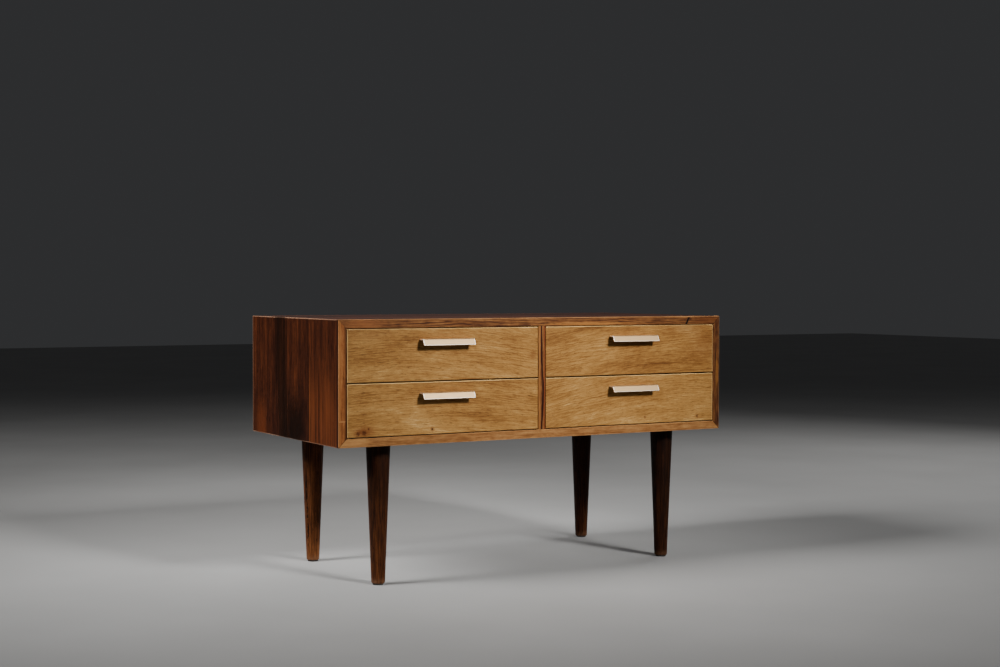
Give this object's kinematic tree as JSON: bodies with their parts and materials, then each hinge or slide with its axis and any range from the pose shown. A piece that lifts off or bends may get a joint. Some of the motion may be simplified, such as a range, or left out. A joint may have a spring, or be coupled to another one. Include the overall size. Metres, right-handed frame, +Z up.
{
  "type": "dresser with drawers",
  "caption": "Low wooden dresser with inset side-hung drawers in a mitred veneered case, folded metal pulls and round tapered legs.",
  "frame": {"origin": "on the floor under the centre of the whole footprint, pulls included", "axes": "+X to the right seen from the front, +Y towards the back, so drawers open along -Y, and +Z up"},
  "size_m": [0.9, 0.4494, 0.5195],
  "materials": {
    "case_veneer": "dark rosewood veneer, oiled, satin",
    "lipping": "solid wood strip, oiled, satin",
    "drawer_front": "honey brown veneer, horizontal grain, satin",
    "leg_wood": "dark stained turned wood, satin",
    "box_wood": "pale beech, waxed",
    "birch_ply": "birch plywood, sealed",
    "back_board": "stained plywood, matt",
    "pull_aluminium": "brushed and anodised",
    "screw_brass": "dulled",
    "bolt_steel": "zinc plated, dull",
    "glide": "dark nylon"
  },
  "bodies": {
    "case": {"top_panel": "case_veneer", "bottom_panel": "case_veneer", "left_side_panel": "case_veneer", "right_side_panel": "case_veneer", "centre_divider": "case_veneer", "back_panel": "back_board", "top_lipping": "lipping", "bottom_lipping": "lipping", "left_lipping_upper": "lipping", "left_lipping_lower": "lipping", "right_lipping": "lipping", "divider_lipping": "lipping", "back_panel_screws": "screw_brass", "corner_splines": "birch_ply", "divider_dowels": "box_wood", "upper_left_runner_left": "box_wood", "upper_left_runner_right": "box_wood", "upper_right_runner_left": "box_wood", "upper_right_runner_right": "box_wood", "lower_left_runner_left": "box_wood", "lower_left_runner_right": "box_wood", "lower_right_runner_left": "box_wood", "lower_right_runner_right": "box_wood", "runner_screws": "screw_brass", "front_left_leg": "leg_wood", "rear_left_leg": "leg_wood", "front_right_leg": "leg_wood", "rear_right_leg": "leg_wood", "hanger_bolts": "bolt_steel", "tee_nuts": "bolt_steel", "foot_glides": "glide"},
    "upper_left_drawer": {"upper_left_drawer_front": "drawer_front", "upper_left_drawer_side_left": "box_wood", "upper_left_drawer_side_right": "box_wood", "upper_left_drawer_back": "box_wood", "upper_left_drawer_bottom": "birch_ply", "upper_left_pull": "pull_aluminium", "upper_left_pull_screws": "bolt_steel"},
    "upper_right_drawer": {"upper_right_drawer_front": "drawer_front", "upper_right_drawer_side_left": "box_wood", "upper_right_drawer_side_right": "box_wood", "upper_right_drawer_back": "box_wood", "upper_right_drawer_bottom": "birch_ply", "upper_right_pull": "pull_aluminium", "upper_right_pull_screws": "bolt_steel"},
    "lower_left_drawer": {"lower_left_drawer_front": "drawer_front", "lower_left_drawer_side_left": "box_wood", "lower_left_drawer_side_right": "box_wood", "lower_left_drawer_back": "box_wood", "lower_left_drawer_bottom": "birch_ply", "lower_left_pull": "pull_aluminium", "lower_left_pull_screws": "bolt_steel"},
    "lower_right_drawer": {"lower_right_drawer_front": "drawer_front", "lower_right_drawer_side_left": "box_wood", "lower_right_drawer_side_right": "box_wood", "lower_right_drawer_back": "box_wood", "lower_right_drawer_bottom": "birch_ply", "lower_right_pull": "pull_aluminium", "lower_right_pull_screws": "bolt_steel"}
  },
  "joints": [
    {"name": "upper_left_drawer_slide", "type": "slide", "parent": "case", "child": "upper_left_drawer", "axis": [0, -1, 0], "range_m": [0, 0.3]},
    {"name": "upper_right_drawer_slide", "type": "slide", "parent": "case", "child": "upper_right_drawer", "axis": [0, -1, 0], "range_m": [0, 0.3]},
    {"name": "lower_left_drawer_slide", "type": "slide", "parent": "case", "child": "lower_left_drawer", "axis": [0, -1, 0], "range_m": [0, 0.3]},
    {"name": "lower_right_drawer_slide", "type": "slide", "parent": "case", "child": "lower_right_drawer", "axis": [0, -1, 0], "range_m": [0, 0.3]}
  ]
}
